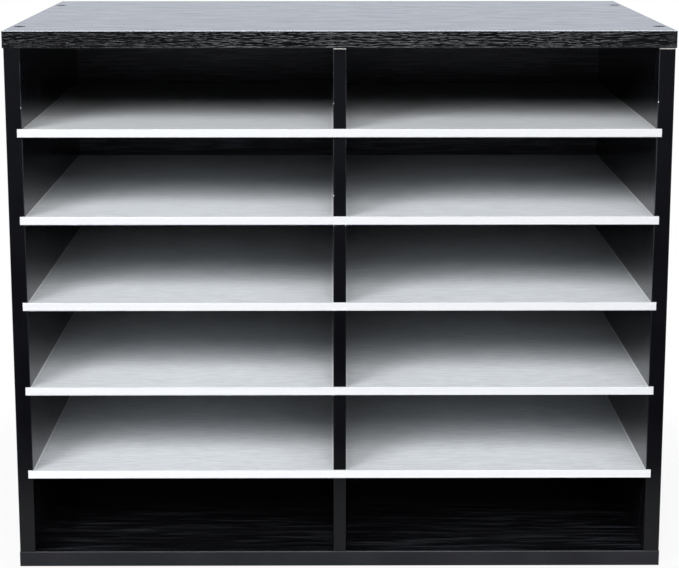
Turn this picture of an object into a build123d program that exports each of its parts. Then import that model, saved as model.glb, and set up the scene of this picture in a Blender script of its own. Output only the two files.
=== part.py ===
"""Literature organizer: an open-fronted laminated cabinet, two columns wide and six rows high.

Seen from the front, +X is to the right, +Y runs to the back and +Z is up. The origin is the
centre of the whole object's footprint, on the surface that it stands on.
"""
import os

from build123d import *

os.makedirs("parts", exist_ok=True)

# Overall size with the shelves pushed home: 19 1/2 x 12 x 16 9/32 inches
overall_width = 495.3
overall_depth = 304.8
overall_height = 413.55

# Boards of the cabinet; the bottom is a little narrower than the top, and both overhang the sides
bottom_width = 494.0
top_thickness = 12.7
panel_thickness = 11.9
divider_thickness = 9.6
back_thickness = 3.0
side_setback = 1.05
rebate_depth = 4.0
rebate_width = 6.0
back_panel_play = 0.3

# Edge bands on the visible edges of the boards
band_thickness = 1.0
band_radius = 0.8
band_gaps_under_top = {"left": 0.15, "right": 0.8, "divider": 0.8}

# Shelf levels, their boards and the grooves that the boards slide in
level_count = 5
board_thickness = 5.0
groove_depth = 2.8
groove_height_play = 0.4
groove_side_play = 0.4
board_back_play = 0.6

# White front moulding of a shelf level: a flat flange with a stem that sits in the boards
flange_height = 6.2
flange_thickness = 1.2
flange_radius = 0.4
flange_side_overlap = 3.5
flange_stand_off = 0.2
stem_thickness = 1.4
stem_depth = 8.0
stem_end_gap = 3.0
kerf_play = 0.1

# Countersunk screws through the top and the bottom into the side panels
screw_front_distance = 38.0
screw_rear_distance = 50.0
screw_length = 45.0
screw_shank_radius = 2.1
screw_head_radius = 4.2
screw_head_sink = 0.5
screw_tip_length = 5.0
screw_tip_radius = 0.3
countersink_angle = 90
screw_hole_play = 0.1
hole_end_play = 1.0
recess_width = 1.1
recess_span = 4.6
recess_depth = 1.6

# Dowels that locate the divider in the top and the bottom
dowel_radius = 3.0
dowel_length = 24.0
dowel_chamfer = 0.6
dowel_depth_in_panel = 8.0
dowel_hole_play = 0.05
dowel_end_play = 0.5
dowel_edge_distance = 60.0

# Pins that hold the back panel in its rebate
pin_radius = 0.8
pin_head_radius = 1.8
pin_head_thickness = 0.7
pin_length = 15.0
pin_hole_play = 0.05
pins_per_row = 4

# Planes across the width
half_width = overall_width / 2
bottom_half_width = bottom_width / 2
side_outer = half_width - side_setback
side_inner = side_outer - panel_thickness
side_middle = (side_outer + side_inner) / 2
divider_face = divider_thickness / 2

# Planes along the depth
cabinet_front = -overall_depth / 2 + flange_thickness + flange_stand_off
board_front = cabinet_front + band_thickness
cabinet_back = overall_depth / 2
back_panel_front = cabinet_back - rebate_depth
back_panel_rear = back_panel_front + back_thickness

# Planes up the height
top_underside = overall_height - top_thickness
inner_height = top_underside - panel_thickness
clear_height = (inner_height - level_count * flange_height) / (level_count + 1)
level_pitch = clear_height + flange_height
level_heights = [
    top_underside - number * level_pitch + flange_height / 2
    for number in range(1, level_count + 1)
]
groove_height = board_thickness + groove_height_play

# Places of the screws and the dowels in plan
screw_rows = (cabinet_front + screw_front_distance, cabinet_back - screw_rear_distance)
dowel_rows = (cabinet_front + dowel_edge_distance, back_panel_front - dowel_edge_distance)
screw_head_height = screw_head_radius - screw_shank_radius
screw_hole_radius = screw_shank_radius + screw_hole_play
countersink_radius = screw_head_radius + screw_head_sink + screw_hole_play
dowel_hole_radius = dowel_radius + dowel_hole_play

# Places of the back panel's pins, seen from the front: half way up each row of compartments
pin_line = side_inner + rebate_width / 2
pin_column_heights = [
    panel_thickness + clear_height / 2 + number * level_pitch for number in range(level_count + 1)
]
pin_row_step = 2 * side_inner / pins_per_row
pin_row_places = [-side_inner + pin_row_step * (number + 0.5) for number in range(pins_per_row)]
side_pins = {sign: [(sign * pin_line, z) for z in pin_column_heights] for sign in (-1, 1)}
divider_pins = [(0, z) for z in pin_column_heights]
top_pins = [(x, top_underside + rebate_width / 2) for x in pin_row_places]
bottom_pins = [(x, panel_thickness - rebate_width / 2) for x in pin_row_places]
pin_hole_radius = pin_radius + pin_hole_play
pin_hole_depth = pin_length - back_thickness + hole_end_play

low_corner = (Align.MIN, Align.MIN, Align.MIN)
upright = (Align.CENTER, Align.CENTER, Align.MIN)
hanging = (Align.CENTER, Align.CENTER, Align.MAX)


# Top panel, laid over the side panels
with BuildPart() as top_panel:
    with Locations((-half_width + band_thickness, board_front, top_underside)):
        Box(
            overall_width - 2 * band_thickness,
            cabinet_back - board_front,
            top_thickness,
            align=low_corner,
        )
    # Rebate for the back panel's upper edge
    with Locations((-side_inner - rebate_width, back_panel_front, top_underside)):
        Box(
            2 * (side_inner + rebate_width),
            rebate_depth,
            rebate_width,
            align=low_corner,
            mode=Mode.SUBTRACT,
        )
    with Locations(*[(sign * side_middle, y, overall_height) for sign in (-1, 1) for y in screw_rows]):
        CounterSinkHole(screw_hole_radius, countersink_radius, counter_sink_angle=countersink_angle)
    # Blind holes for the divider's dowels
    with Locations(*[(0, y, top_underside) for y in dowel_rows]):
        Cylinder(
            dowel_hole_radius,
            dowel_depth_in_panel + dowel_end_play,
            align=upright,
            mode=Mode.SUBTRACT,
        )
    with BuildSketch(Plane.XZ.offset(-back_panel_front)):
        with Locations(*top_pins):
            Circle(pin_hole_radius)
    extrude(amount=pin_hole_depth, mode=Mode.SUBTRACT)
top_panel.part.label = "top_panel"
export_step(top_panel.part, "parts/top_panel.step")


# Bottom panel, under the side panels, with the same fixings turned over
with BuildPart() as bottom_panel:
    with Locations((-bottom_half_width + band_thickness, board_front, 0)):
        Box(
            bottom_width - 2 * band_thickness,
            cabinet_back - board_front,
            panel_thickness,
            align=low_corner,
        )
    with Locations((-side_inner - rebate_width, back_panel_front, panel_thickness - rebate_width)):
        Box(
            2 * (side_inner + rebate_width),
            rebate_depth,
            rebate_width,
            align=low_corner,
            mode=Mode.SUBTRACT,
        )
    with Locations(
        *[Location((sign * side_middle, y, 0), (180, 0, 0)) for sign in (-1, 1) for y in screw_rows]
    ):
        CounterSinkHole(screw_hole_radius, countersink_radius, counter_sink_angle=countersink_angle)
    with Locations(*[(0, y, panel_thickness) for y in dowel_rows]):
        Cylinder(
            dowel_hole_radius,
            dowel_depth_in_panel + dowel_end_play,
            align=hanging,
            mode=Mode.SUBTRACT,
        )
    with BuildSketch(Plane.XZ.offset(-back_panel_front)):
        with Locations(*bottom_pins):
            Circle(pin_hole_radius)
    extrude(amount=pin_hole_depth, mode=Mode.SUBTRACT)
bottom_panel.part.label = "bottom_panel"
export_step(bottom_panel.part, "parts/bottom_panel.step")


# Front and end bands of the top and the bottom panel, with rounded outer arrises
for panel_name, half_span, band_low, band_height in (
    ("top", half_width, top_underside, top_thickness),
    ("bottom", bottom_half_width, 0, panel_thickness),
):
    with BuildPart() as front_band:
        with Locations((-half_span, cabinet_front, band_low)):
            Box(2 * half_span, band_thickness, band_height, align=low_corner)
        fillet(front_band.faces().sort_by(Axis.Y)[0].edges(), band_radius)
    front_band.part.label = f"{panel_name}_front_band"
    export_step(front_band.part, f"parts/{panel_name}_front_band.step")

    for side_name, sign in (("left", -1), ("right", 1)):
        with BuildPart() as end_band:
            with Locations((sign * (half_span - band_thickness / 2), board_front, band_low)):
                Box(
                    band_thickness,
                    cabinet_back - board_front,
                    band_height,
                    align=(Align.CENTER, Align.MIN, Align.MIN),
                )
            outer_face = end_band.faces().sort_by(Axis((0, 0, 0), (sign, 0, 0)))[-1]
            fillet(outer_face.edges().filter_by(Axis.Y), band_radius)
        end_band.part.label = f"{panel_name}_{side_name}_end_band"
        export_step(end_band.part, f"parts/{panel_name}_{side_name}_end_band.step")


# Side panels between the top and the bottom, grooved on the inside for the shelf boards
for side_name, sign in (("left", -1), ("right", 1)):
    groove_places = [(sign * side_inner, z) for z in level_heights]

    with BuildPart() as side_panel:
        with BuildSketch(Plane.XZ.offset(-cabinet_back)):
            with Locations((sign * side_middle, (top_underside + panel_thickness) / 2)):
                Rectangle(panel_thickness, inner_height)
            with Locations(*groove_places):
                Rectangle(2 * groove_depth, groove_height, mode=Mode.SUBTRACT)
        extrude(amount=cabinet_back - board_front)
        # Rebate for the back panel's side edge
        with Locations((sign * side_inner, back_panel_front, panel_thickness)):
            Box(
                2 * rebate_width,
                rebate_depth,
                inner_height,
                align=(Align.CENTER, Align.MIN, Align.MIN),
                mode=Mode.SUBTRACT,
            )
        with Locations(*[(sign * side_middle, y, top_underside) for y in screw_rows]):
            Cylinder(
                screw_hole_radius,
                screw_length - top_thickness + hole_end_play,
                align=hanging,
                mode=Mode.SUBTRACT,
            )
        with Locations(*[(sign * side_middle, y, panel_thickness) for y in screw_rows]):
            Cylinder(
                screw_hole_radius,
                screw_length - panel_thickness + hole_end_play,
                align=upright,
                mode=Mode.SUBTRACT,
            )
        with BuildSketch(Plane.XZ.offset(-back_panel_front)):
            with Locations(*side_pins[sign]):
                Circle(pin_hole_radius)
        extrude(amount=pin_hole_depth, mode=Mode.SUBTRACT)
    side_panel.part.label = f"{side_name}_side_panel"
    export_step(side_panel.part, f"parts/{side_name}_side_panel.step")

    # Front band of the side, cut at each groove and stopping just short of the top panel
    with BuildPart() as side_band:
        with Locations((sign * side_middle, cabinet_front, panel_thickness)):
            Box(
                panel_thickness,
                band_thickness,
                inner_height - band_gaps_under_top[side_name],
                align=(Align.CENTER, Align.MIN, Align.MIN),
            )
        fillet(side_band.faces().sort_by(Axis.Y)[0].edges().filter_by(Axis.Z), band_radius)
        with BuildSketch(Plane.XZ.offset(-board_front)):
            with Locations(*groove_places):
                Rectangle(2 * groove_depth, groove_height)
        extrude(amount=band_thickness, mode=Mode.SUBTRACT)
    side_band.part.label = f"{side_name}_side_band"
    export_step(side_band.part, f"parts/{side_name}_side_band.step")


# Centre divider, grooved on both faces
divider_groove_places = [(sign * divider_face, z) for sign in (-1, 1) for z in level_heights]
with BuildPart() as centre_divider:
    with BuildSketch(Plane.XZ.offset(-back_panel_front)):
        with Locations((0, (top_underside + panel_thickness) / 2)):
            Rectangle(divider_thickness, inner_height)
        with Locations(*divider_groove_places):
            Rectangle(2 * groove_depth, groove_height, mode=Mode.SUBTRACT)
    extrude(amount=back_panel_front - board_front)
    with Locations(*[(0, y, top_underside) for y in dowel_rows]):
        Cylinder(
            dowel_hole_radius,
            dowel_length - dowel_depth_in_panel + dowel_end_play,
            align=hanging,
            mode=Mode.SUBTRACT,
        )
    with Locations(*[(0, y, panel_thickness) for y in dowel_rows]):
        Cylinder(
            dowel_hole_radius,
            dowel_length - dowel_depth_in_panel + dowel_end_play,
            align=upright,
            mode=Mode.SUBTRACT,
        )
    with BuildSketch(Plane.XZ.offset(-back_panel_front)):
        with Locations(*divider_pins):
            Circle(pin_hole_radius)
    extrude(amount=pin_hole_depth, mode=Mode.SUBTRACT)
centre_divider.part.label = "centre_divider"
export_step(centre_divider.part, "parts/centre_divider.step")

with BuildPart() as divider_band:
    with Locations((0, cabinet_front, panel_thickness)):
        Box(
            divider_thickness,
            band_thickness,
            inner_height - band_gaps_under_top["divider"],
            align=(Align.CENTER, Align.MIN, Align.MIN),
        )
    fillet(divider_band.faces().sort_by(Axis.Y)[0].edges().filter_by(Axis.Z), band_radius)
    with BuildSketch(Plane.XZ.offset(-board_front)):
        with Locations(*divider_groove_places):
            Rectangle(2 * groove_depth, groove_height)
    extrude(amount=band_thickness, mode=Mode.SUBTRACT)
divider_band.part.label = "divider_band"
export_step(divider_band.part, "parts/divider_band.step")


# Back panel, let into the rebate all round
with BuildPart() as back_panel:
    with BuildSketch(Plane.XZ.offset(-back_panel_rear)):
        with Locations((0, (top_underside + panel_thickness) / 2)):
            Rectangle(
                2 * (side_inner + rebate_width - back_panel_play),
                inner_height + 2 * (rebate_width - back_panel_play),
            )
        with Locations(*side_pins[-1], *side_pins[1], *divider_pins, *top_pins, *bottom_pins):
            Circle(pin_hole_radius, mode=Mode.SUBTRACT)
    extrude(amount=back_thickness)
back_panel.part.label = "back_panel"
export_step(back_panel.part, "parts/back_panel.step")

with BuildPart() as back_panel_pins:
    with BuildSketch(Plane.XZ.offset(-back_panel_rear)):
        with Locations(*side_pins[-1], *side_pins[1], *divider_pins, *top_pins, *bottom_pins):
            Circle(pin_radius)
    extrude(amount=pin_length)
    with BuildSketch(Plane.XZ.offset(-back_panel_rear)):
        with Locations(*side_pins[-1], *side_pins[1], *divider_pins, *top_pins, *bottom_pins):
            Circle(pin_head_radius)
    extrude(amount=-pin_head_thickness)
back_panel_pins.part.label = "back_panel_pins"
export_step(back_panel_pins.part, "parts/back_panel_pins.step")


# Screws: each place is the middle of the head's flat face, with its Z axis out of the panel
screw_places = {
    "top": [
        Location((sign * side_middle, y, overall_height - screw_head_sink))
        for sign in (-1, 1)
        for y in screw_rows
    ],
    "bottom": [
        Location((sign * side_middle, y, screw_head_sink), (180, 0, 0))
        for sign in (-1, 1)
        for y in screw_rows
    ],
}
for panel_name, places in screw_places.items():
    with BuildPart() as screws:
        for place in places:
            with Locations(place):
                Cone(screw_shank_radius, screw_head_radius, screw_head_height, align=hanging)
                with Locations((0, 0, -screw_head_height)):
                    Cylinder(
                        screw_shank_radius,
                        screw_length - screw_head_height - screw_tip_length,
                        align=hanging,
                    )
                with Locations((0, 0, screw_tip_length - screw_length)):
                    Cone(screw_tip_radius, screw_shank_radius, screw_tip_length, align=hanging)
                # Cross recess for the driver
                Box(recess_span, recess_width, recess_depth, align=hanging, mode=Mode.SUBTRACT)
                Box(recess_width, recess_span, recess_depth, align=hanging, mode=Mode.SUBTRACT)
    screws.part.label = f"{panel_name}_screws"
    export_step(screws.part, f"parts/{panel_name}_screws.step")


# Dowels in the divider's ends
with BuildPart() as divider_dowels:
    with Locations(*[(0, y, top_underside + dowel_depth_in_panel) for y in dowel_rows]):
        Cylinder(dowel_radius, dowel_length, align=hanging)
    with Locations(*[(0, y, panel_thickness - dowel_depth_in_panel) for y in dowel_rows]):
        Cylinder(dowel_radius, dowel_length, align=upright)
    chamfer(divider_dowels.edges().filter_by(GeomType.CIRCLE), dowel_chamfer)
divider_dowels.part.label = "divider_dowels"
export_step(divider_dowels.part, "parts/divider_dowels.step")


# Shelf levels, numbered from the top: two boards joined by one moulding across both columns
board_inner_edge = divider_face - groove_depth + groove_side_play
board_outer_edge = side_inner + groove_depth - groove_side_play
board_width = board_outer_edge - board_inner_edge
moulding_back = cabinet_front - flange_stand_off
moulding_front = moulding_back - flange_thickness
board_depth = back_panel_front - board_back_play - moulding_back
moulding_length = 2 * (side_inner + flange_side_overlap)
stem_length = side_inner - divider_face - 2 * stem_end_gap
stem_middle = (side_inner + divider_face) / 2

for number, level in enumerate(level_heights, start=1):
    for side_name, sign in (("left", -1), ("right", 1)):
        with BuildPart() as shelf_board:
            board_middle = sign * (board_inner_edge + board_outer_edge) / 2
            with Locations((board_middle, moulding_back, level)):
                Box(
                    board_width,
                    board_depth,
                    board_thickness,
                    align=(Align.CENTER, Align.MIN, Align.CENTER),
                )
                # Kerf in the front edge for the moulding's stem
                Box(
                    board_width,
                    stem_depth + kerf_play,
                    stem_thickness + 2 * kerf_play,
                    align=(Align.CENTER, Align.MIN, Align.CENTER),
                    mode=Mode.SUBTRACT,
                )
        shelf_board.part.label = f"shelf_{number}_{side_name}_board"
        export_step(shelf_board.part, f"parts/shelf_{number}_{side_name}_board.step")

    with BuildPart() as moulding:
        with Locations((0, moulding_front, level)):
            Box(
                moulding_length,
                flange_thickness,
                flange_height,
                align=(Align.CENTER, Align.MIN, Align.CENTER),
            )
        fillet(moulding.faces().sort_by(Axis.Y)[0].edges(), flange_radius)
        with Locations((-stem_middle, moulding_back, level), (stem_middle, moulding_back, level)):
            Box(
                stem_length,
                stem_depth,
                stem_thickness,
                align=(Align.CENTER, Align.MIN, Align.CENTER),
            )
    moulding.part.label = f"shelf_{number}_moulding"
    export_step(moulding.part, f"parts/shelf_{number}_moulding.step")
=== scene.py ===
"""Looks of a literature organizer, a black laminated cabinet with ten light grey shelf boards.

Metres throughout, +X to the right of the open front, +Y to the back and +Z up.
"""

import math
from typing import NamedTuple

import bpy
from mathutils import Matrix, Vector


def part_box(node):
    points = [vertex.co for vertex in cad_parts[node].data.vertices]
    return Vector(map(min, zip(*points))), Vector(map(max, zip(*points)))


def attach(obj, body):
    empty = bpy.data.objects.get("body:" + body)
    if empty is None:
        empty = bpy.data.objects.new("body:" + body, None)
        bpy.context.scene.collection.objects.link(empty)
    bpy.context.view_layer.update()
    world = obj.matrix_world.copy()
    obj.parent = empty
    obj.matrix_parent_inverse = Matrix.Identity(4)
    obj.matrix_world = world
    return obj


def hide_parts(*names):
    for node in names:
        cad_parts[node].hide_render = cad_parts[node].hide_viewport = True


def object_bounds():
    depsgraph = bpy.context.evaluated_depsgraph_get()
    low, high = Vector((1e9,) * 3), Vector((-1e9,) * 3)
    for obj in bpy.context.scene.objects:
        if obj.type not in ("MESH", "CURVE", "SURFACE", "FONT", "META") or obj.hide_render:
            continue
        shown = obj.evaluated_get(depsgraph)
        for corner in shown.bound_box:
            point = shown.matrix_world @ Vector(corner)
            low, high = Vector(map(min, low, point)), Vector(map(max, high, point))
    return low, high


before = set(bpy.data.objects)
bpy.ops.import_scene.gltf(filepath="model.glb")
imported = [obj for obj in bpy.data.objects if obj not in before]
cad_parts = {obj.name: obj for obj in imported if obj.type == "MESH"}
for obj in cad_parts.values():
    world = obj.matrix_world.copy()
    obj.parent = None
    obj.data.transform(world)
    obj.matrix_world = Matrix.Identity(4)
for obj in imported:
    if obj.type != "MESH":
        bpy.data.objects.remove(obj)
cad_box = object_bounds()

bl_info = {
    "name": "Literature organizer",
    "version": (1, 0, 0),
    "blender": (4, 5, 0),
    "location": "View3D > Sidebar > Organizer",
    "description": "Dresses the cabinet and its shelf levels, and sets the studio round them",
    "category": "Object",
}

MM = 0.001
LEVELS = range(1, 6)
SIDES = ("left", "right")
PHOTO_WIDTH, PHOTO_HEIGHT = 679, 568
WHITE = (1.0, 1.0, 1.0, 1.0)


class Marks(NamedTuple):
    """A kind of mark: its size along and across the grain, and the noise that draws it.

    It fades in between two values of the noise, so a narrow span gives a crisp edge.
    """

    length: float
    width: float
    fade: tuple = (0.3, 0.7)
    detail: float = 2.0
    distortion: float = 0.0


# Marks that run with the grain. Real ash pores are about 0.3 mm wide and the shelf print's
# lines 0.2 mm, and both are drawn as coarse as they need to show.
FOIL_PORES = Marks(26 * MM, 1.4 * MM, (0.35, 0.65), detail=3.0, distortion=0.4)
FOIL_STROKES = Marks(55 * MM, 2.8 * MM, (0.48, 0.66), detail=3.0, distortion=0.6)
FOIL_FIGURE = Marks(150 * MM, 12 * MM, distortion=0.5)
BACK_PORES = Marks(60 * MM, 2.4 * MM, (0.44, 0.6), detail=3.0, distortion=1.2)
BAND_FIBRES = Marks(8 * MM, 0.6 * MM)
SHELF_LINES = Marks(13 * MM, 1.1 * MM, (0.38, 0.62), detail=3.0, distortion=0.7)
SHELF_STREAKS = Marks(22 * MM, 2.2 * MM, (0.42, 0.58), distortion=0.6)
DRAW_LINES = Marks(180 * MM, 0.7 * MM)
BEECH_FLECKS = Marks(4 * MM, 0.4 * MM, (0.35, 0.7), detail=3.0)

# Marks that are as long as they are wide
BAND_HAZE = Marks(40 * MM, 40 * MM)
BAND_PEEL = Marks(0.9 * MM, 0.9 * MM, (0.2, 0.8))
HIGHLIGHT_PATCHES = Marks(12 * MM, 12 * MM, (0.2, 0.6))
BACK_FIBRES = Marks(1.2 * MM, 1.2 * MM, detail=5.0, distortion=0.5)
BACK_BLOTCHES = Marks(60 * MM, 60 * MM, (0.2, 0.8))
STEEL_MARKS = Marks(0.6 * MM, 0.6 * MM, detail=3.0)
CORE_FLAKE = 2.2 * MM

# Fine relief of each finish: how far it shows, and how deep it is
FOIL_RELIEF = (0.28, 0.2 * MM)
POLISHED_RELIEF = (0.12, 0.2 * MM)
BAND_RELIEF = (0.05, 0.1 * MM)
PRESSED_RELIEF = (0.2, 0.1 * MM)
SHELF_RELIEF = (0.1, 0.1 * MM)
MOULDING_RELIEF = (0.04, 0.1 * MM)
BACK_RELIEF = (0.2, 0.15 * MM)
STEEL_RELIEF = (0.1, 0.05 * MM)

# How strongly each finish mirrors, as an index of refraction or as a level
FOIL_IOR = 1.42
POLISHED_IOR = 1.6
PRESSED_IOR = 1.35
BAND_SPECULAR = 0.25
SHELF_SPECULAR = 0.3

# Roughness of a finish at its shiniest and at its dullest, or the change from its own value
FOIL_ROUGHER = (-0.04, 0.05)
BAND_ROUGHER = (-0.02, 0.03)
STEEL_ROUGHER = (-0.05, 0.1)
PRESSED_ROUGHNESS = (0.16, 0.22)
MOULDING_ROUGHNESS = (0.3, 0.38)
BACK_FOIL_ROUGHNESS = 0.34
HARDBOARD_ROUGHNESS = 0.7
CORE_ROUGHNESS = 0.85
BEECH_ROUGHNESS = 0.6

# How many times as bright the lighter or darker marks of a colour are
DARK_FLAKE = 0.72
HAZED_BAND = 1.5
BAND_FIBRE_LIGHT = 2.0
DRAWN_WHITE = 0.97
BACK_FOIL_DARK, BACK_FOIL_LIGHT = 6.0, 40.0
HARDBOARD_DARK = 0.7

# How far the foil's strokes are printed where its figure is thin and where it is dense
PRINT_DENSITY = (0.1, 0.8)

# Share of the larger marks where two kinds are mixed
FIGURE_SHARE = 0.4
STREAK_SHARE = 0.5
BLOTCH_SHARE = 0.4

# Share of a painted highlight line's width where its colour starts to fade
HIGHLIGHT_CORE = 0.6
TOP_HIGHLIGHT_CORE = 0.7

# The relief keeps off the arrises by a share of their radius. The ash figure is pressed in
# with marks of its own length and width, at a share of the pores' depth.
RELIEF_MARGIN = 0.7
PRESSED_FIGURE = (50 * MM, 2.5 * MM)
FIGURE_DEPTH = 0.9
RELIEF_CONTRAST = 2.0
RELIEF_DISTORTION = 0.2
SHARP_EDGE = math.radians(50)

# Heights of the chips knocked into the upright bands, by the arris that they are in
CHIPS = {
    "left_side_band": (("right", 357 * MM),),
    "right_side_band": (("left", 361 * MM),),
    "divider_band": (
        ("left", 360 * MM),
        ("left", 291 * MM),
        ("left", 268.3 * MM),
        ("right", 268.3 * MM),
    ),
}

# Directions in the room: the part of one along +Y over which the sweep fades in, and the
# angles over the horizon between which the room in front turns from its low level to the
# one at eye height, and on to the one overhead
SWEEP_FADE = (-0.1, 0.25)
GROUND_FADE = (math.radians(-11), math.radians(-5))
OVERHEAD_FADE = (math.radians(-3), math.radians(4))

# The floor, and how far from the cabinet it fades out for the camera and for the light
FLOOR_SIZE = 1.4
SEEN_FADE = (0.03, 0.15)
LIT_FADE = (0.12, 0.26)


def linear(hex_colour):
    """A written sRGB colour as the linear red, green, blue and alpha that a shader reads."""
    channels = [int(hex_colour[start : start + 2], 16) / 255 for start in (1, 3, 5)]
    return (*(c / 12.92 if c <= 0.04045 else ((c + 0.055) / 1.055) ** 2.4 for c in channels), 1.0)


def shaded(colour, factor):
    """The same colour, lighter or darker by a factor."""
    return tuple(factor * channel for channel in colour[:3]) + (1.0,)


def colour_property(name, description, hex_colour):
    """A colour that can be picked, written as sRGB."""
    return bpy.props.FloatVectorProperty(
        name=name,
        description=description,
        default=linear(hex_colour),
        size=4,
        min=0.0,
        max=1.0,
        subtype="COLOR",
    )


def length_property(name, description, metres):
    """A real size in metres."""
    return bpy.props.FloatProperty(
        name=name, description=description, default=metres, min=0.0, precision=5, unit="LENGTH"
    )


def share_property(name, description, share):
    """A share from none to all."""
    return bpy.props.FloatProperty(
        name=name, description=description, default=share, min=0.0, max=1.0, subtype="FACTOR"
    )


def power_property(name, description, watts):
    """Power of a lamp in watts."""
    return bpy.props.FloatProperty(
        name=name, description=description, default=watts, min=0.0, unit="POWER"
    )


def angle_property(name, description, radians):
    """An angle in radians, shown in degrees."""
    return bpy.props.FloatProperty(
        name=name, description=description, default=radians, unit="ROTATION"
    )


class OrganizerFinish(bpy.types.PropertyGroup):
    """Colours and surface sizes of the boards, bands and mouldings."""

    foil_black: colour_property("Foil", "Black foil on the cabinet's boards", "#070709")
    foil_pore: colour_property("Foil pore", "Printed pores of the black foil", "#37383d")
    band_black: colour_property("Band", "Smooth black edge band", "#060609")
    # Lighter black on the bottom bands: painted reflection of the floor
    bottom_band_floor_sheen: colour_property("Bottom band", "Bottom panel's band, lightened as painted floor reflection", "#18181c")
    # Grey painted along arrises as their highlight
    arris_highlight_grey: colour_property("Arris highlight grey", "Grey painted along an arris as its highlight", "#434549")
    # Pale colour of the chips, also painted on the top arris as its highlight
    pale_chip_and_highlight: colour_property("Chips and top highlight", "Pale of the chips, and painted highlight on the top arris", "#f4f6fa")
    core_pale: colour_property("Core", "Bare chipboard on a cut edge", "#dcd8cf")
    hardboard_brown: colour_property("Hardboard", "Bare rear of the back panel", "#8a6a48")
    board_grey: colour_property("Shelf foil", "Light grey foil on the shelf boards", "#f0f2f3")
    board_streak: colour_property("Shelf grain", "Darker grain of the shelf foil", "#dddfe2")
    # Pale line painted beside the grooves as a highlight
    board_edge_highlight: colour_property("Shelf edge highlight", "Pale line painted beside a groove as its highlight", "#ffffff")
    moulding_white: colour_property("Moulding", "White plastic front moulding", "#ebebec")
    pore_length: length_property("Pore length", "Pressed pore along the grain", 7 * MM)
    pore_width: length_property("Pore width", "Pressed pore across the grain", 0.55 * MM)
    pore_depth: length_property("Pore depth", "Relief on the top panel's bands", 0.11 * MM)
    band_cell_length: length_property("Cell length", "Mesh cell of a pressed band", 0.7 * MM)
    band_cell_height: length_property("Cell height", "Mesh cell of a pressed band", 0.15 * MM)
    arris_radius: length_property("Arris radius", "Rounding of a band's arrises", 0.6 * MM)
    groove_cover: length_property("Groove cover", "End of a board in its groove", 2.4 * MM)
    # Width of the highlight painted beside the groove
    edge_highlight_width: length_property("Edge highlight width", "Painted highlight beside the groove", 1.2 * MM)
    # Width of the highlight painted on a top arris
    top_highlight_line: length_property("Top highlight line", "Highlight painted on a top arris", 0.3 * MM)
    # Width of the painted arris highlight, and the heights between which it fades out on upright
    # arrises
    arris_highlight_width: length_property("Arris line", "Painted highlight line along an arris", 0.5 * MM)
    highlight_full_above: length_property("Highlight full above", "Upright arrises get their full painted highlight over it", 330 * MM)
    highlight_gone_below: length_property("Highlight gone below", "Upright arrises get no painted highlight under it", 120 * MM)
    chip_radius: length_property("Chip radius", "Chip knocked into an arris", 0.65 * MM)
    foil_skin: length_property("Foil skin", "Foil shows this far from the face", 0.15 * MM)
    countersink: length_property("Countersink", "Foil pressed in round a screw", 0.6 * MM)
    foil_roughness: share_property("Foil roughness", "Roughness of the black foil", 0.17)
    band_roughness: share_property("Band roughness", "Roughness of the smooth band", 0.24)
    board_roughness: share_property("Shelf roughness", "Roughness of the grey foil", 0.55)


class OrganizerStudio(bpy.types.PropertyGroup):
    """The camera, the lamps and the floor."""

    camera_place: bpy.props.FloatVectorProperty(
        name="Camera place",
        description="Where the camera stands",
        default=(-0.00665, -1.46905, 0.52941),
        subtype="TRANSLATION",
        unit="LENGTH",
    )
    camera_pitch: angle_property("Camera pitch", "How far the camera looks down", 0.1841)
    camera_yaw: angle_property("Camera yaw", "How far the camera turns to the right", 0.0049)
    focal_pixels: bpy.props.FloatProperty(
        name="Focal length", description="In pixels of the photograph", default=1800.5, min=1.0
    )
    centre_row: bpy.props.FloatProperty(
        name="Centre row", description="Pixel row of the lens axis", default=205.0, min=0.0
    )
    key_watts: power_property("Key", "Softbox on the left", 31.0)
    front_watts: power_property("Front", "Softbox over the camera", 42.0)
    fill_watts: power_property("Fill", "Softbox on the right", 12.0)
    lamp_colour: colour_property("Lamp colour", "Colour of the softboxes", "#fbfdff")
    sweep_colour: colour_property("Sweep colour", "Backdrop as it is reflected", "#edf3ff")
    sweep_level: share_property("Sweep level", "Backdrop behind the object", 0.75)
    room_level: share_property("Room level", "Room in front, just under eye height", 0.5)
    room_high_level: share_property("High room level", "Room in front, overhead", 0.08)
    room_low_level: share_property("Low room level", "Room in front, near the ground", 0.05)
    floor_colour: colour_property("Floor colour", "Pale floor", "#e6e6e6")
    floor_glow: share_property("Floor glow", "How far the seen floor is lifted to white", 0.9)


def add_node(tree, kind, inputs=None, **settings):
    """Adds a node with its settings and links, and returns its first live output.

    An input is a value, or the output that feeds it.
    """
    node = tree.nodes.new("ShaderNode" + kind)
    for name, value in settings.items():
        setattr(node, name, value)
    for socket, value in (inputs or {}).items():
        if isinstance(value, bpy.types.NodeSocket):
            tree.links.new(value, node.inputs[socket])
        else:
            node.inputs[socket].default_value = value
    return next((output for output in node.outputs if output.enabled), None)


def new_material(name):
    """An empty material, with its tree and the object's own coordinates in metres."""
    material = bpy.data.materials.new(name)
    material.use_nodes = True
    tree = material.node_tree
    tree.nodes.clear()
    place = add_node(tree, "TexCoord").node.outputs["Object"]
    return material, tree, place


def finished(material, tree, colour, rough, marks, relief, shine=None):
    """Ends a material with its shader, which has fine marks pressed in.

    The shine holds what else the shader needs, such as its IOR.
    """
    strength, depth = relief
    bump = add_node(tree, "Bump", {"Height": marks, "Strength": strength, "Distance": depth})
    look = {"Base Color": colour, "Roughness": rough, "Normal": bump}
    shader = add_node(tree, "BsdfPrincipled", look | (shine or {}))
    add_node(tree, "OutputMaterial", {"Surface": shader})
    return material


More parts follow.
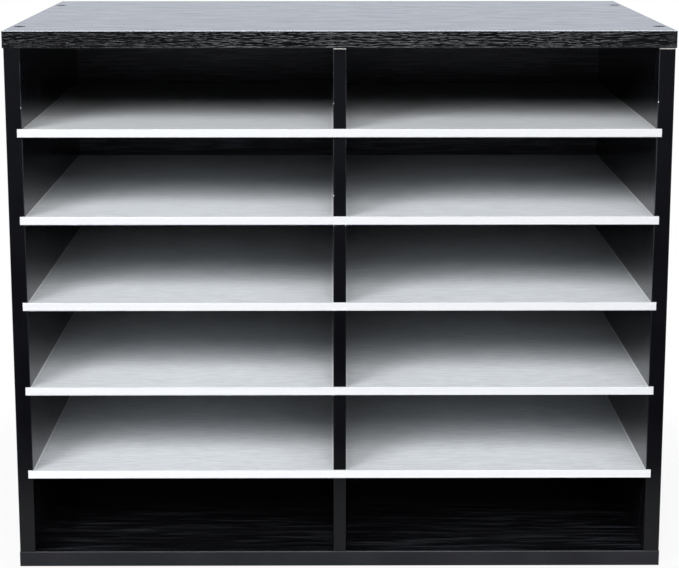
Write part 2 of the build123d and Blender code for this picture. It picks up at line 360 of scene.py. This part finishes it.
def grain(tree, place, marks, axis="X"):
    """Printed or pressed marks, from 0 between them to 1 on them, that run along one axis."""
    scale = [1 / (marks.length if name == axis else marks.width) for name in "XYZ"]
    scaled = add_node(tree, "Mapping", {"Vector": place, "Scale": scale})
    waves = {"Scale": 1.0, "Detail": marks.detail, "Distortion": marks.distortion}
    noise = add_node(tree, "TexNoise", {"Vector": scaled, **waves})
    span = {"Value": noise, "From Min": marks.fade[0], "From Max": marks.fade[1]}
    return add_node(tree, "MapRange", span, interpolation_type="SMOOTHSTEP")


def from_middle(tree, place, node, axis):
    """How far a point is from a CAD node's middle plane across an axis, and half its span."""
    low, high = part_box(node)
    index = "XYZ".index(axis)
    middle = (low[index] + high[index]) / 2
    position = add_node(tree, "SeparateXYZ", {0: place}).node.outputs[index]
    offset = add_node(tree, "Math", {0: position, 1: middle}, operation="SUBTRACT")
    return add_node(tree, "Math", {0: offset}, operation="ABSOLUTE"), (high[index] - low[index]) / 2


def on_face(tree, place, node, axis, skin):
    """1 on a board's two broad faces and 0 on its cut edges, grooves and holes."""
    distance, half = from_middle(tree, place, node, axis)
    return add_node(tree, "Math", {0: distance, 1: half - skin}, operation="GREATER_THAN")


def chipboard(tree, place, pale):
    """Colour of bare chipboard: pressed flakes, pale with darker ones among them."""
    flakes = add_node(tree, "TexVoronoi", {"Vector": place, "Scale": 1 / CORE_FLAKE}, feature="F1")
    shade = add_node(tree, "SeparateColor", {0: flakes.node.outputs["Color"]})
    return add_node(tree, "Mix", {0: shade, 6: shaded(pale, DARK_FLAKE), 7: pale}, data_type="RGBA")


def show(node_names, material):
    """Gives CAD nodes their one finish."""
    for name in node_names:
        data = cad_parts[name].data
        data.materials.clear()
        data.materials.append(material)


def foil_board(name, node, thin_axis, grain_axis, polished, finish):
    """Chipboard covered with pressed black ash foil on its broad faces.

    The pores give a broken satin shine that turns pale at a flat angle, stronger and
    smoother on polished foil. The cut edges show a thin light line of core wherever no
    band covers them. Foil that lies flat is pressed in round its screw heads.
    """
    material, tree, place = new_material(name)
    skin = finish.countersink if thin_axis == "Z" else finish.foil_skin
    faced = on_face(tree, place, node, thin_axis, skin)
    pores = grain(tree, place, FOIL_PORES, grain_axis)
    figure = grain(tree, place, FOIL_FIGURE, grain_axis)
    strokes = grain(tree, place, FOIL_STROKES, grain_axis)
    thin, dense = PRINT_DENSITY
    density = add_node(tree, "MapRange", {"Value": figure, "To Min": thin, "To Max": dense})
    printed = add_node(tree, "Math", {0: strokes, 1: density}, operation="MULTIPLY")
    inks = {0: printed, 6: finish.foil_black, 7: finish.foil_pore}
    foil = add_node(tree, "Mix", inks, data_type="RGBA")
    core = chipboard(tree, place, finish.core_pale)
    colour = add_node(tree, "Mix", {0: faced, 6: core, 7: foil}, data_type="RGBA")
    shiny, dull = (finish.foil_roughness + change for change in FOIL_ROUGHER)
    satin = add_node(tree, "MapRange", {"Value": pores, "To Min": shiny, "To Max": dull})
    rough = add_node(tree, "Mix", {0: faced, 2: CORE_ROUGHNESS, 3: satin})
    height = add_node(tree, "Mix", {0: FIGURE_SHARE, 2: pores, 3: figure})
    relief, ior = (POLISHED_RELIEF, POLISHED_IOR) if polished else (FOIL_RELIEF, FOIL_IOR)
    return finished(material, tree, colour, rough, height, relief, {"IOR": ior})


def smooth_band(name, black, arrises, chips, finish):
    """Black ABS edge band, extruded smooth and scraped flush: an even satin black.

    A thin grey line is painted along the given arrises, which are planes across one
    axis, as their highlight. On an upright one this painted highlight comes in patches and
    fades out lower down. Knocks have left small pale chips.
    """
    material, tree, place = new_material(name)
    haze = grain(tree, place, BAND_HAZE)
    colour = add_node(tree, "Mix", {0: haze, 6: black, 7: shaded(black, HAZED_BAND)}, data_type="RGBA")
    patchy = grain(tree, place, HIGHLIGHT_PATCHES)
    parts = add_node(tree, "SeparateXYZ", {0: place}).node.outputs
    # Painted highlight on upright arrises: it comes in patches and fades out lower down
    reach = {"Value": parts["Z"], "From Min": finish.highlight_gone_below, "From Max": finish.highlight_full_above}
    highlight_height = add_node(tree, "MapRange", reach, interpolation_type="SMOOTHSTEP")
    greyed = add_node(tree, "Math", {0: highlight_height, 1: patchy}, operation="MULTIPLY")
    # A grey line painted along each given arris as its highlight
    for axis, plane in arrises:
        gap = add_node(tree, "Math", {0: parts[axis], 1: plane}, operation="SUBTRACT")
        distance = add_node(tree, "Math", {0: gap}, operation="ABSOLUTE")
        line, core = finish.arris_highlight_width, HIGHLIGHT_CORE * finish.arris_highlight_width
        fade = {"Value": distance, "From Min": line, "From Max": core}
        on_highlight_line = add_node(tree, "MapRange", fade, interpolation_type="SMOOTHSTEP")
        shown = 1.0 if axis == "Z" else greyed
        highlight_mask = add_node(tree, "Math", {0: on_highlight_line, 1: shown}, operation="MULTIPLY")
        colour = add_node(tree, "Mix", {0: highlight_mask, 6: colour, 7: finish.arris_highlight_grey}, data_type="RGBA")
    for spot in chips:
        distance = add_node(tree, "VectorMath", {0: place, 1: spot}, operation="DISTANCE")
        chipped = add_node(tree, "Math", {0: distance, 1: finish.chip_radius}, operation="LESS_THAN")
        colour = add_node(tree, "Mix", {0: chipped, 6: colour, 7: finish.pale_chip_and_highlight}, data_type="RGBA")
    peel = grain(tree, place, BAND_PEEL)
    shiny, dull = (finish.band_roughness + change for change in BAND_ROUGHER)
    rough = add_node(tree, "MapRange", {"Value": haze, "To Min": shiny, "To Max": dull})
    shine = {"Specular IOR Level": BAND_SPECULAR}
    return finished(material, tree, colour, rough, peel, BAND_RELIEF, shine)


def pressed_foil(name, outward, top, finish):
    """Black melamine band pressed with deep ash pores: shiny on the ridges, dull in the pores.

    Along its top arris a thin line is painted as its highlight, pale along the front and grey at the
    ends.
    """
    material, tree, place = new_material(name)
    grain_axis = "X" if outward.x == 0 else "Y"
    fine = grain(tree, place, BAND_FIBRES, grain_axis)
    fibres = {0: fine, 6: finish.band_black, 7: shaded(finish.band_black, BAND_FIBRE_LIGHT)}
    black = add_node(tree, "Mix", fibres, data_type="RGBA")
    height = add_node(tree, "SeparateXYZ", {0: place}).node.outputs["Z"]
    line, core = top - finish.top_highlight_line, top - TOP_HIGHLIGHT_CORE * finish.top_highlight_line
    fade = {"Value": height, "From Min": line, "From Max": core}
    on_highlight_line = add_node(tree, "MapRange", fade, interpolation_type="SMOOTHSTEP")
    # Painted highlight on the top arris: pale along the front, grey at the ends
    arris = finish.pale_chip_and_highlight if grain_axis == "X" else finish.arris_highlight_grey
    colour = add_node(tree, "Mix", {0: on_highlight_line, 6: black, 7: arris}, data_type="RGBA")
    shiny, dull = PRESSED_ROUGHNESS
    rough = add_node(tree, "MapRange", {"Value": fine, "To Min": shiny, "To Max": dull})
    return finished(material, tree, colour, rough, fine, PRESSED_RELIEF, {"IOR": PRESSED_IOR})


def shelf_foil(name, node, finish):
    """Thin fibreboard with a matt light grey printed foil: fine wavy grain across the column.

    A paler line is painted at its ends beside the grooves, as a highlight.
    """
    material, tree, place = new_material(name)
    faced = on_face(tree, place, node, "Z", finish.foil_skin)
    lines = grain(tree, place, SHELF_LINES)
    streaks = grain(tree, place, SHELF_STREAKS)
    print_mix = add_node(tree, "Mix", {0: STREAK_SHARE, 2: lines, 3: streaks})
    inks = {0: print_mix, 6: finish.board_grey, 7: finish.board_streak}
    printed = add_node(tree, "Mix", inks, data_type="RGBA")
    # A pale line painted beside each groove, as a highlight on the board's ends
    distance, half = from_middle(tree, place, node, "X")
    beside_groove = half - finish.groove_cover - finish.edge_highlight_width
    edge_highlit = add_node(tree, "Math", {0: distance, 1: beside_groove}, operation="GREATER_THAN")
    foil = add_node(tree, "Mix", {0: edge_highlit, 6: printed, 7: finish.board_edge_highlight}, data_type="RGBA")
    core = chipboard(tree, place, finish.core_pale)
    colour = add_node(tree, "Mix", {0: faced, 6: core, 7: foil}, data_type="RGBA")
    rough, shine = finish.board_roughness, {"Specular IOR Level": SHELF_SPECULAR}
    return finished(material, tree, colour, rough, lines, SHELF_RELIEF, shine)


def moulding_plastic(name, finish):
    """Extruded white PVC: an even white, softly shiny, with faint draw lines along its length."""
    material, tree, place = new_material(name)
    lines = grain(tree, place, DRAW_LINES)
    drawn = shaded(finish.moulding_white, DRAWN_WHITE)
    colour = add_node(tree, "Mix", {0: lines, 6: finish.moulding_white, 7: drawn}, data_type="RGBA")
    shiny, dull = MOULDING_ROUGHNESS
    rough = add_node(tree, "MapRange", {"Value": lines, "To Min": shiny, "To Max": dull})
    return finished(material, tree, colour, rough, lines, MOULDING_RELIEF)


def hardboard_back(name, node, finish):
    """Hardboard with black foil on its inner face and bare brown pressed fibre behind."""
    material, tree, place = new_material(name)
    depth = add_node(tree, "SeparateXYZ", {0: place}).node.outputs["Y"]
    inner_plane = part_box(node)[0].y + finish.foil_skin
    faced = add_node(tree, "Math", {0: depth, 1: inner_plane}, operation="LESS_THAN")
    pores = grain(tree, place, BACK_PORES)
    dark, light = (shaded(finish.foil_black, factor) for factor in (BACK_FOIL_DARK, BACK_FOIL_LIGHT))
    foil = add_node(tree, "Mix", {0: pores, 6: dark, 7: light}, data_type="RGBA")
    fibre = grain(tree, place, BACK_FIBRES)
    blotch = grain(tree, place, BACK_BLOTCHES)
    pressed = add_node(tree, "Mix", {0: BLOTCH_SHARE, 2: fibre, 3: blotch})
    browns = {
        0: pressed,
        6: shaded(finish.hardboard_brown, HARDBOARD_DARK),
        7: finish.hardboard_brown,
    }
    brown = add_node(tree, "Mix", browns, data_type="RGBA")
    colour = add_node(tree, "Mix", {0: faced, 6: brown, 7: foil}, data_type="RGBA")
    span = {"Value": faced, "To Min": HARDBOARD_ROUGHNESS, "To Max": BACK_FOIL_ROUGHNESS}
    rough = add_node(tree, "MapRange", span)
    height = add_node(tree, "Mix", {0: faced, 2: fibre, 3: pores})
    return finished(material, tree, colour, rough, height, BACK_RELIEF)


def plated_steel(name, light, dark, roughness):
    """Headed steel, plated and tumbled: a cool shine with faint handling marks."""
    material, tree, place = new_material(name)
    marks = grain(tree, place, STEEL_MARKS)
    colour = add_node(tree, "Mix", {0: marks, 6: linear(light), 7: linear(dark)}, data_type="RGBA")
    shiny, dull = (roughness + change for change in STEEL_ROUGHER)
    rough = add_node(tree, "MapRange", {"Value": marks, "To Min": shiny, "To Max": dull})
    return finished(material, tree, colour, rough, marks, STEEL_RELIEF, {"Metallic": 1.0})


def turned_beech(name, light, dark):
    """Beech dowel: warm, close-grained and matt, with short darker flecks along its length."""
    material, tree, place = new_material(name)
    flecks = grain(tree, place, BEECH_FLECKS, "Z")
    colour = add_node(tree, "Mix", {0: flecks, 6: linear(light), 7: linear(dark)}, data_type="RGBA")
    shader = add_node(tree, "BsdfPrincipled", {"Base Color": colour, "Roughness": BEECH_ROUGHNESS})
    add_node(tree, "OutputMaterial", {"Surface": shader})
    return material


class ORGANIZER_OT_stage(bpy.types.Operator):
    """Sets the camera, the softboxes, the studio round them and the floor"""

    bl_idname = "organizer.stage"
    bl_label = "Set the studio"

    def execute(self, context):
        studio = context.scene.organizer_studio
        bpy.ops.object.camera_add(
            location=studio.camera_place,
            rotation=(math.pi / 2 - studio.camera_pitch, 0.0, -studio.camera_yaw),
        )
        camera = context.object
        camera.name = "camera"
        camera.data.lens = studio.focal_pixels / PHOTO_WIDTH * camera.data.sensor_width
        camera.data.shift_y = (studio.centre_row - PHOTO_HEIGHT / 2) / PHOTO_WIDTH
        context.scene.camera = camera
        context.scene.view_settings.view_transform = "Standard"
        # Azimuths are to the right of the front and both angles are in degrees.
        for name, watts, azimuth, elevation, distance, size in (
            ("key_softbox", studio.key_watts, -33.0, 28.0, 2.3, (0.9, 0.7)),
            ("front_softbox", studio.front_watts, 3.0, 35.0, 2.8, (1.1, 1.4)),
            ("fill_softbox", studio.fill_watts, 38.0, 25.0, 2.8, (1.1, 1.0)),
        ):
            lamp = self.softbox(name, math.radians(azimuth), math.radians(elevation), distance)
            lamp.size, lamp.size_y = size
            lamp.energy = watts
            lamp.color = studio.lamp_colour[:3]
        self.room(context.scene, studio)
        self.floor(studio)
        return {"FINISHED"}

    def softbox(self, name, turn, lift, distance):
        """A soft light that faces the cabinet, turned to the right of its front and lifted."""
        target = (cad_box[0] + cad_box[1]) / 2
        level = math.cos(lift)
        away = Vector((math.sin(turn) * level, -math.cos(turn) * level, math.sin(lift)))
        bpy.ops.object.light_add(type="AREA", location=target + distance * away)
        lamp = bpy.context.object
        lamp.name = name
        lamp.rotation_euler = away.to_track_quat("Z", "Y").to_euler()
        lamp.data.shape = "RECTANGLE"
        lamp.visible_camera = False
        return lamp.data

    def room(self, scene, studio):
        """White sweep behind the object and a dim room before it; the camera sees plain white."""
        world = bpy.data.worlds.new("studio")
        world.use_nodes = True
        scene.world = world
        tree = world.node_tree
        tree.nodes.clear()
        toward = add_node(tree, "TexCoord").node.outputs["Generated"]
        parts = add_node(tree, "SeparateXYZ", {0: toward}).node.outputs
        fade = {"Value": parts["Y"], "From Min": SWEEP_FADE[0], "From Max": SWEEP_FADE[1]}
        behind = add_node(tree, "MapRange", fade, interpolation_type="SMOOTHSTEP")
        before = studio.room_low_level
        for lifts, level in (
            (GROUND_FADE, studio.room_level),
            (OVERHEAD_FADE, studio.room_high_level),
        ):
            lower, upper = (math.sin(lift) for lift in lifts)
            span = {"Value": parts["Z"], "From Min": lower, "From Max": upper}
            levels = {"To Min": before, "To Max": level}
            before = add_node(tree, "MapRange", span | levels, interpolation_type="SMOOTHSTEP")
        brightness = add_node(tree, "Mix", {0: behind, 2: before, 3: studio.sweep_level})
        dim = {"Color": studio.sweep_colour, "Strength": brightness}
        around = add_node(tree, "Background", dim)
        rays = add_node(tree, "LightPath").node.outputs
        mirrored = add_node(tree, "Math", {0: rays["Is Glossy Ray"], 1: behind}, operation="MULTIPLY")
        straight = {0: rays["Is Camera Ray"], 1: rays["Is Transmission Ray"]}
        seen = add_node(tree, "Math", straight, operation="MAXIMUM")
        white = add_node(tree, "Background", {"Color": WHITE, "Strength": 1.0})
        sheen = add_node(tree, "Background", {"Color": studio.sweep_colour, "Strength": 1.0})
        reflected = add_node(tree, "MixShader", {0: mirrored, 1: around, 2: sheen})
        shown = add_node(tree, "MixShader", {0: seen, 1: reflected, 2: white})
        add_node(tree, "OutputWorld", {"Surface": shown})

    def floor(self, studio):
        """A pale floor that thins out into the white a hand's width from the cabinet."""
        bpy.ops.mesh.primitive_plane_add(size=FLOOR_SIZE)
        floor = bpy.context.object
        floor.name = "floor"
        material, tree, place = new_material("pale_matt_floor")
        foot = (cad_box[1] - cad_box[0]) / 2
        corner = (foot.x, foot.y, 0)
        flat = add_node(tree, "VectorMath", {0: place, 1: (1, 1, 0)}, operation="MULTIPLY")
        mirrored = add_node(tree, "VectorMath", {0: flat}, operation="ABSOLUTE")
        beyond = add_node(tree, "VectorMath", {0: mirrored, 1: corner}, operation="SUBTRACT")
        outside = add_node(tree, "VectorMath", {0: beyond, 1: (0, 0, 0)}, operation="MAXIMUM")
        distance = add_node(tree, "VectorMath", {0: outside}, operation="LENGTH")
        thinning = []
        for start, end in (SEEN_FADE, LIT_FADE):
            span = {"Value": distance, "From Min": start, "From Max": end}
            levels = {"To Min": 1.0, "To Max": 0.0}
            fade = add_node(tree, "MapRange", span | levels, interpolation_type="SMOOTHSTEP")
            thinning.append(fade)
        near, far = thinning
        seen = add_node(tree, "LightPath").node.outputs["Is Camera Ray"]
        left = add_node(tree, "Mix", {0: seen, 2: far, 3: near})
        clear = add_node(tree, "BsdfTransparent")
        matt = add_node(tree, "BsdfDiffuse", {"Color": studio.floor_colour})
        white = add_node(tree, "Emission", {"Color": WHITE, "Strength": 1.0})
        lifted = add_node(tree, "Math", {0: seen, 1: studio.floor_glow}, operation="MULTIPLY")
        ground = add_node(tree, "MixShader", {0: lifted, 1: matt, 2: white})
        surface = add_node(tree, "MixShader", {0: left, 1: clear, 2: ground})
        add_node(tree, "OutputMaterial", {"Surface": surface})
        floor.data.materials.append(material)


class ORGANIZER_OT_boards(bpy.types.Operator):
    """Covers the cabinet's boards with black foil"""

    bl_idname = "organizer.boards"
    bl_label = "Dress the cabinet's boards"

    def execute(self, context):
        finish = context.scene.organizer_finish
        for node, thin_axis, grain_axis in (
            ("top_panel", "Z", "X"),
            ("bottom_panel", "Z", "X"),
            ("left_side_panel", "X", "Z"),
            ("right_side_panel", "X", "Z"),
            ("centre_divider", "X", "Z"),
        ):
            name = f"black_ash_foil_{node}"
            polished = node == "top_panel"
            show([node], foil_board(name, node, thin_axis, grain_axis, polished, finish))
        show(["back_panel"], hardboard_back("foiled_hardboard", "back_panel", finish))
        return {"FINISHED"}


class ORGANIZER_OT_smooth_bands(bpy.types.Operator):
    """Finishes the smooth bands of the sides, the divider and the bottom"""

    bl_idname = "organizer.smooth_bands"
    bl_label = "Finish the smooth bands"

    def execute(self, context):
        finish = context.scene.organizer_finish
        for node, highlit_arrises, black in (
            ("left_side_band", ("right",), finish.band_black),
            ("right_side_band", ("left",), finish.band_black),
            ("divider_band", ("left", "right"), finish.band_black),
            # The bottom bands get a lighter black, painted reflection of the floor
            ("bottom_front_band", ("top",), finish.bottom_band_floor_sheen),
            ("bottom_left_end_band", ("top",), finish.bottom_band_floor_sheen),
            ("bottom_right_end_band", ("top",), finish.bottom_band_floor_sheen),
        ):
            low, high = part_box(node)
            planes = {"left": ("X", low.x), "right": ("X", high.x), "top": ("Z", high.z)}
            arrises = [planes[side] for side in highlit_arrises]
            chips = [
                Vector((planes[side][1], low.y, height)) for side, height in CHIPS.get(node, ())
            ]
            show([node], smooth_band(f"black_abs_{node}", black, arrises, chips, finish))
        return {"FINISHED"}


class ORGANIZER_OT_pressed_bands(bpy.types.Operator):
    """Presses the ash grain into the three bands round the top panel"""

    bl_idname = "organizer.pressed_bands"
    bl_label = "Press the top panel's bands"

    def execute(self, context):
        finish = context.scene.organizer_finish
        for node, outward, round_ends in (
            ("top_front_band", Vector((0, -1, 0)), True),
            ("top_left_end_band", Vector((-1, 0, 0)), False),
            ("top_right_end_band", Vector((1, 0, 0)), False),
        ):
            band = self.pressed_band(node, outward, round_ends, finish)
            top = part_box(node)[1].z
            foil = pressed_foil(f"black_pressed_{node}", outward, top, finish)
            band.data.materials.append(foil)
            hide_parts(node)
            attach(band, "cabinet")
        return {"FINISHED"}

    def pressed_band(self, node, outward, round_ends, finish):
        """A band with rounded arrises and pores in its outer face, in the plain one's room."""
        low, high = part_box(node)
        run = Vector((0, 0, 1)).cross(outward)
        span = high - low
        thick, length, height = abs(span.dot(outward)), abs(span.dot(run)), span.z
        face = (low + high) / 2 + outward * thick / 2
        turn = math.atan2(run.y, run.x)
        radius = finish.arris_radius
        bpy.ops.object.select_all(action="DESELECT")
        bpy.ops.mesh.primitive_grid_add(
            x_subdivisions=round(length / finish.band_cell_length),
            y_subdivisions=round(height / finish.band_cell_height),
            size=1.0,
            location=face,
            rotation=(math.pi / 2, 0, turn),
        )
        band = bpy.context.object
        band.name = f"{node}_pressed"
        band.scale = (length, height, 1.0)
        bpy.ops.object.transform_apply(location=True, rotation=True, scale=True)
        faded = band.vertex_groups.new(name="pressed")
        for vertex in band.data.vertices:
            gap = height / 2 - abs(vertex.co.z - face.z)
            share = (gap - RELIEF_MARGIN * radius) / radius
            faded.add([vertex.index], min(max(share, 0.0), 1.0), "REPLACE")
        pore = (finish.pore_length, finish.pore_width)
        self.press(band, "ash_pores", turn, pore, finish.pore_depth)
        self.press(band, "ash_figure", turn, PRESSED_FIGURE, FIGURE_DEPTH * finish.pore_depth)
        for vertex in band.data.vertices:
            # The relief stays in the plain band's room, and then the arrises are rounded.
            bounded = zip(vertex.co, low, high)
            vertex.co = [min(max(part, least), most) for part, least, most in bounded]
            gaps = [height / 2 - abs(vertex.co.z - face.z)]
            if round_ends:
                gaps.append(length / 2 - abs((vertex.co - face).dot(run)))
            for gap in gaps:
                inward = min(max(radius - gap, 0.0), radius)
                vertex.co -= outward * (radius - math.sqrt(radius**2 - inward**2))
        bpy.ops.object.mode_set(mode="EDIT")
        bpy.ops.mesh.select_all(action="SELECT")
        bpy.ops.mesh.region_to_loop()
        bpy.ops.mesh.extrude_edges_move(TRANSFORM_OT_translate={"value": -outward * thick / 2})
        bpy.ops.transform.resize(
            value=[1.0 - abs(part) for part in outward], center_override=face - outward * thick
        )
        bpy.ops.mesh.edge_face_add()
        bpy.ops.mesh.select_all(action="SELECT")
        bpy.ops.mesh.normals_make_consistent(inside=False)
        bpy.ops.object.mode_set(mode="OBJECT")
        bpy.ops.object.shade_smooth_by_angle(angle=SHARP_EDGE)
        return band

    def press(self, band, name, turn, mark, depth):
        """Sinks noise into the outer face; an empty as large as one mark gives it its size."""
        length, width = mark
        bpy.ops.object.empty_add(rotation=(0, 0, turn))
        pore = bpy.context.object
        pore.scale = (length, width, width)
        pattern = bpy.data.textures.new(name, "DISTORTED_NOISE")
        pattern.noise_scale = 1.0
        pattern.distortion = RELIEF_DISTORTION
        pattern.contrast = RELIEF_CONTRAST
        sink = band.modifiers.new(name, "DISPLACE")
        sink.texture = pattern
        sink.texture_coords = "OBJECT"
        sink.texture_coords_object = pore
        sink.vertex_group = "pressed"
        sink.mid_level = 1.0
        sink.strength = depth
        bpy.context.view_layer.update()
        bpy.ops.object.select_all(action="DESELECT")
        band.select_set(True)
        bpy.context.view_layer.objects.active = band
        bpy.ops.object.modifier_apply(modifier=name)
        bpy.data.objects.remove(pore)


class ORGANIZER_OT_shelf_boards(bpy.types.Operator):
    """Covers the ten shelf boards with grey foil"""

    bl_idname = "organizer.shelf_boards"
    bl_label = "Dress the shelf boards"

    def execute(self, context):
        finish = context.scene.organizer_finish
        for level in LEVELS:
            for side in SIDES:
                node = f"shelf_{level}_{side}_board"
                show([node], shelf_foil(f"grey_foil_{node}", node, finish))
        return {"FINISHED"}


class ORGANIZER_OT_mouldings(bpy.types.Operator):
    """Finishes the white front mouldings"""

    bl_idname = "organizer.mouldings"
    bl_label = "Finish the mouldings"

    def execute(self, context):
        plastic = moulding_plastic("white_pvc_moulding", context.scene.organizer_finish)
        show([f"shelf_{level}_moulding" for level in LEVELS], plastic)
        return {"FINISHED"}


class ORGANIZER_OT_fixings(bpy.types.Operator):
    """Finishes the screws, pins and dowels"""

    bl_idname = "organizer.fixings"
    bl_label = "Finish the fixings"

    def execute(self, context):
        black = plated_steel("black_phosphated_steel", "#161617", "#0b0b0c", roughness=0.5)
        zinc = plated_steel("zinc_plated_steel", "#c9ccd0", "#a9adb2", roughness=0.3)
        beech = turned_beech("turned_beech", "#d9b383", "#b98d5c")
        show(["top_screws", "bottom_screws"], black)
        show(["back_panel_pins"], zinc)
        show(["divider_dowels"], beech)
        return {"FINISHED"}


class ORGANIZER_PT_panel(bpy.types.Panel):
    """Every step of the organizer, in order"""

    bl_label = "Literature organizer"
    bl_idname = "ORGANIZER_PT_panel"
    bl_space_type = "VIEW_3D"
    bl_region_type = "UI"
    bl_category = "Organizer"

    def draw(self, context):
        for step in STEPS:
            self.layout.operator(step.bl_idname)
        for group in (context.scene.organizer_finish, context.scene.organizer_studio):
            box = self.layout.box()
            for name in group.__annotations__:
                box.prop(group, name)


STEPS = (
    ORGANIZER_OT_stage,
    ORGANIZER_OT_boards,
    ORGANIZER_OT_smooth_bands,
    ORGANIZER_OT_pressed_bands,
    ORGANIZER_OT_shelf_boards,
    ORGANIZER_OT_mouldings,
    ORGANIZER_OT_fixings,
)
CLASSES = (OrganizerFinish, OrganizerStudio, *STEPS, ORGANIZER_PT_panel)


def register():
    for cls in CLASSES:
        bpy.utils.register_class(cls)
    bpy.types.Scene.organizer_finish = bpy.props.PointerProperty(type=OrganizerFinish)
    bpy.types.Scene.organizer_studio = bpy.props.PointerProperty(type=OrganizerStudio)


def unregister():
    del bpy.types.Scene.organizer_studio
    del bpy.types.Scene.organizer_finish
    for cls in reversed(CLASSES):
        bpy.utils.unregister_class(cls)


def main():
    register()
    bpy.ops.object.select_all(action="DESELECT")
    for step in STEPS:
        group, name = step.bl_idname.split(".")
        getattr(getattr(bpy.ops, group), name)()


if __name__ == "__main__":
    main()
